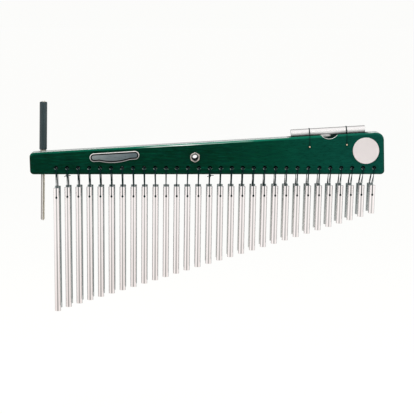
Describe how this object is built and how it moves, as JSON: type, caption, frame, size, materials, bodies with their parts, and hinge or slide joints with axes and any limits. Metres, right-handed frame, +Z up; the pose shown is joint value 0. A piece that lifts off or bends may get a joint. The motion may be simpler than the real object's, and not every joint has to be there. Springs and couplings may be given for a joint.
{
  "type": "bar chime",
  "caption": "Bar chime: a tapered stained-wood board with a double row of tuned metal bars on cords, a stored beater, a bell bar on top and a bushing for a stand.",
  "frame": {"origin": "on the axis of the mount bushing, at the middle of the board's thickness", "axes": "+X along the board towards its tall end and short bars, +Y out of the back face, +Z up"},
  "size_m": [0.5664, 0.0429, 0.3361],
  "materials": {
    "stained_wood": "glossy",
    "bar_metal": "polished",
    "nickel": "polished",
    "plate_metal": "satin",
    "badge_face": "satin",
    "grip": "matt",
    "rubber": "matt",
    "cord": "matt",
    "brass": "polished"
  },
  "bodies": {
    "board": {"mantle": "stained_wood", "mount_bushing": "nickel", "mount_nut": "nickel", "nameplate": "plate_metal", "round_badge": "badge_face", "beater_grommet": "rubber", "bell_bar": "bar_metal", "bell_cord_left": "cord", "bell_cord_right": "cord", "bell_pin_left": "brass", "bell_pin_right": "brass", "suspension_cord": "cord"},
    "beater": {"beater_rod": "nickel", "beater_handle": "grip", "beater_ferrule": "nickel"},
    "front_bar_01": {"front_bar_01": "bar_metal"},
    "front_bar_02": {"front_bar_02": "bar_metal"},
    "front_bar_03": {"front_bar_03": "bar_metal"},
    "front_bar_04": {"front_bar_04": "bar_metal"},
    "front_bar_05": {"front_bar_05": "bar_metal"},
    "front_bar_06": {"front_bar_06": "bar_metal"},
    "front_bar_07": {"front_bar_07": "bar_metal"},
    "front_bar_08": {"front_bar_08": "bar_metal"},
    "front_bar_09": {"front_bar_09": "bar_metal"},
    "front_bar_10": {"front_bar_10": "bar_metal"},
    "front_bar_11": {"front_bar_11": "bar_metal"},
    "front_bar_12": {"front_bar_12": "bar_metal"},
    "front_bar_13": {"front_bar_13": "bar_metal"},
    "front_bar_14": {"front_bar_14": "bar_metal"},
    "front_bar_15": {"front_bar_15": "bar_metal"},
    "front_bar_16": {"front_bar_16": "bar_metal"},
    "front_bar_17": {"front_bar_17": "bar_metal"},
    "front_bar_18": {"front_bar_18": "bar_metal"},
    "front_bar_19": {"front_bar_19": "bar_metal"},
    "front_bar_20": {"front_bar_20": "bar_metal"},
    "front_bar_21": {"front_bar_21": "bar_metal"},
    "front_bar_22": {"front_bar_22": "bar_metal"},
    "front_bar_23": {"front_bar_23": "bar_metal"},
    "front_bar_24": {"front_bar_24": "bar_metal"},
    "front_bar_25": {"front_bar_25": "bar_metal"},
    "front_bar_26": {"front_bar_26": "bar_metal"},
    "front_bar_27": {"front_bar_27": "bar_metal"},
    "front_bar_28": {"front_bar_28": "bar_metal"},
    "front_bar_29": {"front_bar_29": "bar_metal"},
    "front_bar_30": {"front_bar_30": "bar_metal"},
    "rear_bars_01_02": {"rear_bars_01_02": "bar_metal"},
    "rear_bars_03_04": {"rear_bars_03_04": "bar_metal"},
    "rear_bars_05_06": {"rear_bars_05_06": "bar_metal"},
    "rear_bars_07_08": {"rear_bars_07_08": "bar_metal"},
    "rear_bars_09_10": {"rear_bars_09_10": "bar_metal"},
    "rear_bars_11_12": {"rear_bars_11_12": "bar_metal"},
    "rear_bars_13_14": {"rear_bars_13_14": "bar_metal"},
    "rear_bars_15_16": {"rear_bars_15_16": "bar_metal"},
    "rear_bars_17_18": {"rear_bars_17_18": "bar_metal"},
    "rear_bars_19_20": {"rear_bars_19_20": "bar_metal"},
    "rear_bars_21_22": {"rear_bars_21_22": "bar_metal"},
    "rear_bars_23_24": {"rear_bars_23_24": "bar_metal"},
    "rear_bars_25_26": {"rear_bars_25_26": "bar_metal"},
    "rear_bars_27_28": {"rear_bars_27_28": "bar_metal"},
    "rear_bars_29_30": {"rear_bars_29_30": "bar_metal"}
  },
  "joints": [
    {"name": "beater_pull_out", "type": "slide", "parent": "board", "child": "beater", "axis": [0.0175, 0, 0.9998], "range_m": [0, 0.11]},
    {"name": "front_bar_01_swing", "type": "hinge", "parent": "board", "child": "front_bar_01", "pos_m": [-0.2204, -0.016, -0.0639], "axis": [0, 1, 0], "range_deg": [-1.8, 1.8]},
    {"name": "front_bar_15_swing", "type": "hinge", "parent": "board", "child": "front_bar_15", "pos_m": [0.023, -0.016, -0.06132], "axis": [0, 1, 0], "range_deg": [-3.1, 3.1]},
    {"name": "front_bar_30_swing", "type": "hinge", "parent": "board", "child": "front_bar_30", "pos_m": [0.2831, -0.016, -0.0594], "axis": [0, 1, 0], "range_deg": [-11.3, 11.3]},
    {"name": "front_bar_08_swing", "type": "hinge", "parent": "board", "child": "front_bar_08", "pos_m": [-0.0979, -0.016, -0.06175], "axis": [0, 1, 0], "range_deg": [-2.3, 2.3]},
    {"name": "front_bar_23_swing", "type": "hinge", "parent": "board", "child": "front_bar_23", "pos_m": [0.163, -0.016, -0.06046], "axis": [0, 1, 0], "range_deg": [-5.1, 5.1]},
    {"name": "front_bar_05_swing", "type": "hinge", "parent": "board", "child": "front_bar_05", "pos_m": [-0.1504, -0.016, -0.06187], "axis": [0, 1, 0], "range_deg": [-2.1, 2.1]},
    {"name": "front_bar_11_swing", "type": "hinge", "parent": "board", "child": "front_bar_11", "pos_m": [-0.0459, -0.016, -0.0616], "axis": [0, 1, 0], "range_deg": [-2.6, 2.6]},
    {"name": "front_bar_19_swing", "type": "hinge", "parent": "board", "child": "front_bar_19", "pos_m": [0.093, -0.016, -0.06094], "axis": [0, 1, 0], "range_deg": [-3.8, 3.8]},
    {"name": "front_bar_27_swing", "type": "hinge", "parent": "board", "child": "front_bar_27", "pos_m": [0.23207, -0.016, -0.05989], "axis": [0, 1, 0], "range_deg": [-7.4, 7.4]},
    {"name": "front_bar_02_swing", "type": "hinge", "parent": "board", "child": "front_bar_02", "pos_m": [-0.2029, -0.016, -0.0625], "axis": [0, 1, 0], "range_deg": [-1.9, 1.9]},
    {"name": "front_bar_13_swing", "type": "hinge", "parent": "board", "child": "front_bar_13", "pos_m": [-0.01199, -0.016, -0.06147], "axis": [0, 1, 0], "range_deg": [-2.8, 2.8]},
    {"name": "front_bar_21_swing", "type": "hinge", "parent": "board", "child": "front_bar_21", "pos_m": [0.128, -0.016, -0.06071], "axis": [0, 1, 0], "range_deg": [-4.4, 4.4]},
    {"name": "front_bar_29_swing", "type": "hinge", "parent": "board", "child": "front_bar_29", "pos_m": [0.26583, -0.016, -0.05957], "axis": [0, 1, 0], "range_deg": [-9.6, 9.6]},
    {"name": "rear_bars_01_02_swing", "type": "hinge", "parent": "board", "child": "rear_bars_01_02", "pos_m": [-0.21225, 0.0134, -0.018], "axis": [1, 0, 0], "range_deg": [0, 45]},
    {"name": "rear_bars_15_16_swing", "type": "hinge", "parent": "board", "child": "rear_bars_15_16", "pos_m": [0.03275, 0.0134, -0.018], "axis": [1, 0, 0], "range_deg": [0, 45]},
    {"name": "rear_bars_29_30_swing", "type": "hinge", "parent": "board", "child": "rear_bars_29_30", "pos_m": [0.27775, 0.0134, -0.018], "axis": [1, 0, 0], "range_deg": [0, 45]},
    {"name": "rear_bars_07_08_swing", "type": "hinge", "parent": "board", "child": "rear_bars_07_08", "pos_m": [-0.10725, 0.0134, -0.018], "axis": [1, 0, 0], "range_deg": [0, 45]},
    {"name": "rear_bars_23_24_swing", "type": "hinge", "parent": "board", "child": "rear_bars_23_24", "pos_m": [0.17275, 0.0134, -0.018], "axis": [1, 0, 0], "range_deg": [0, 45]},
    {"name": "front_bar_03_swing", "type": "hinge", "parent": "board", "child": "front_bar_03", "pos_m": [-0.1854, -0.016, -0.06207], "axis": [0, 1, 0], "range_deg": [-1.9, 1.9]},
    {"name": "front_bar_04_swing", "type": "hinge", "parent": "board", "child": "front_bar_04", "pos_m": [-0.1679, -0.016, -0.06193], "axis": [0, 1, 0], "range_deg": [-2, 2]},
    {"name": "front_bar_06_swing", "type": "hinge", "parent": "board", "child": "front_bar_06", "pos_m": [-0.1329, -0.016, -0.06183], "axis": [0, 1, 0], "range_deg": [-2.1, 2.1]},
    {"name": "front_bar_07_swing", "type": "hinge", "parent": "board", "child": "front_bar_07", "pos_m": [-0.1154, -0.016, -0.06179], "axis": [0, 1, 0], "range_deg": [-2.2, 2.2]},
    {"name": "front_bar_09_swing", "type": "hinge", "parent": "board", "child": "front_bar_09", "pos_m": [-0.0804, -0.016, -0.06171], "axis": [0, 1, 0], "range_deg": [-2.4, 2.4]},
    {"name": "front_bar_10_swing", "type": "hinge", "parent": "board", "child": "front_bar_10", "pos_m": [-0.06293, -0.016, -0.06166], "axis": [0, 1, 0], "range_deg": [-2.5, 2.5]},
    {"name": "front_bar_12_swing", "type": "hinge", "parent": "board", "child": "front_bar_12", "pos_m": [-0.02907, -0.016, -0.06154], "axis": [0, 1, 0], "range_deg": [-2.7, 2.7]},
    {"name": "front_bar_14_swing", "type": "hinge", "parent": "board", "child": "front_bar_14", "pos_m": [0.0055, -0.016, -0.0614], "axis": [0, 1, 0], "range_deg": [-2.9, 2.9]},
    {"name": "front_bar_16_swing", "type": "hinge", "parent": "board", "child": "front_bar_16", "pos_m": [0.0405, -0.016, -0.06123], "axis": [0, 1, 0], "range_deg": [-3.2, 3.2]},
    {"name": "front_bar_17_swing", "type": "hinge", "parent": "board", "child": "front_bar_17", "pos_m": [0.058, -0.016, -0.06114], "axis": [0, 1, 0], "range_deg": [-3.4, 3.4]},
    {"name": "front_bar_18_swing", "type": "hinge", "parent": "board", "child": "front_bar_18", "pos_m": [0.0755, -0.016, -0.06104], "axis": [0, 1, 0], "range_deg": [-3.6, 3.6]},
    {"name": "front_bar_20_swing", "type": "hinge", "parent": "board", "child": "front_bar_20", "pos_m": [0.1105, -0.016, -0.06083], "axis": [0, 1, 0], "range_deg": [-4.1, 4.1]},
    {"name": "front_bar_22_swing", "type": "hinge", "parent": "board", "child": "front_bar_22", "pos_m": [0.1455, -0.016, -0.06059], "axis": [0, 1, 0], "range_deg": [-4.7, 4.7]},
    {"name": "front_bar_24_swing", "type": "hinge", "parent": "board", "child": "front_bar_24", "pos_m": [0.1805, -0.016, -0.06033], "axis": [0, 1, 0], "range_deg": [-5.5, 5.5]},
    {"name": "front_bar_25_swing", "type": "hinge", "parent": "board", "child": "front_bar_25", "pos_m": [0.19799, -0.016, -0.06019], "axis": [0, 1, 0], "range_deg": [-6, 6]},
    {"name": "front_bar_26_swing", "type": "hinge", "parent": "board", "child": "front_bar_26", "pos_m": [0.21517, -0.016, -0.06004], "axis": [0, 1, 0], "range_deg": [-6.6, 6.6]},
    {"name": "front_bar_28_swing", "type": "hinge", "parent": "board", "child": "front_bar_28", "pos_m": [0.24889, -0.016, -0.05973], "axis": [0, 1, 0], "range_deg": [-8.4, 8.4]},
    {"name": "rear_bars_03_04_swing", "type": "hinge", "parent": "board", "child": "rear_bars_03_04", "pos_m": [-0.17725, 0.0134, -0.018], "axis": [1, 0, 0], "range_deg": [0, 45]},
    {"name": "rear_bars_05_06_swing", "type": "hinge", "parent": "board", "child": "rear_bars_05_06", "pos_m": [-0.14225, 0.0134, -0.018], "axis": [1, 0, 0], "range_deg": [0, 45]},
    {"name": "rear_bars_09_10_swing", "type": "hinge", "parent": "board", "child": "rear_bars_09_10", "pos_m": [-0.07225, 0.0134, -0.018], "axis": [1, 0, 0], "range_deg": [0, 45]},
    {"name": "rear_bars_11_12_swing", "type": "hinge", "parent": "board", "child": "rear_bars_11_12", "pos_m": [-0.03725, 0.0134, -0.018], "axis": [1, 0, 0], "range_deg": [0, 45]},
    {"name": "rear_bars_13_14_swing", "type": "hinge", "parent": "board", "child": "rear_bars_13_14", "pos_m": [-0.00225, 0.0134, -0.018], "axis": [1, 0, 0], "range_deg": [0, 45]},
    {"name": "rear_bars_17_18_swing", "type": "hinge", "parent": "board", "child": "rear_bars_17_18", "pos_m": [0.06775, 0.0134, -0.018], "axis": [1, 0, 0], "range_deg": [0, 45]},
    {"name": "rear_bars_19_20_swing", "type": "hinge", "parent": "board", "child": "rear_bars_19_20", "pos_m": [0.10275, 0.0134, -0.018], "axis": [1, 0, 0], "range_deg": [0, 45]},
    {"name": "rear_bars_21_22_swing", "type": "hinge", "parent": "board", "child": "rear_bars_21_22", "pos_m": [0.13775, 0.0134, -0.018], "axis": [1, 0, 0], "range_deg": [0, 45]},
    {"name": "rear_bars_25_26_swing", "type": "hinge", "parent": "board", "child": "rear_bars_25_26", "pos_m": [0.20775, 0.0134, -0.018], "axis": [1, 0, 0], "range_deg": [0, 45]},
    {"name": "rear_bars_27_28_swing", "type": "hinge", "parent": "board", "child": "rear_bars_27_28", "pos_m": [0.24275, 0.0134, -0.018], "axis": [1, 0, 0], "range_deg": [0, 45]}
  ]
}
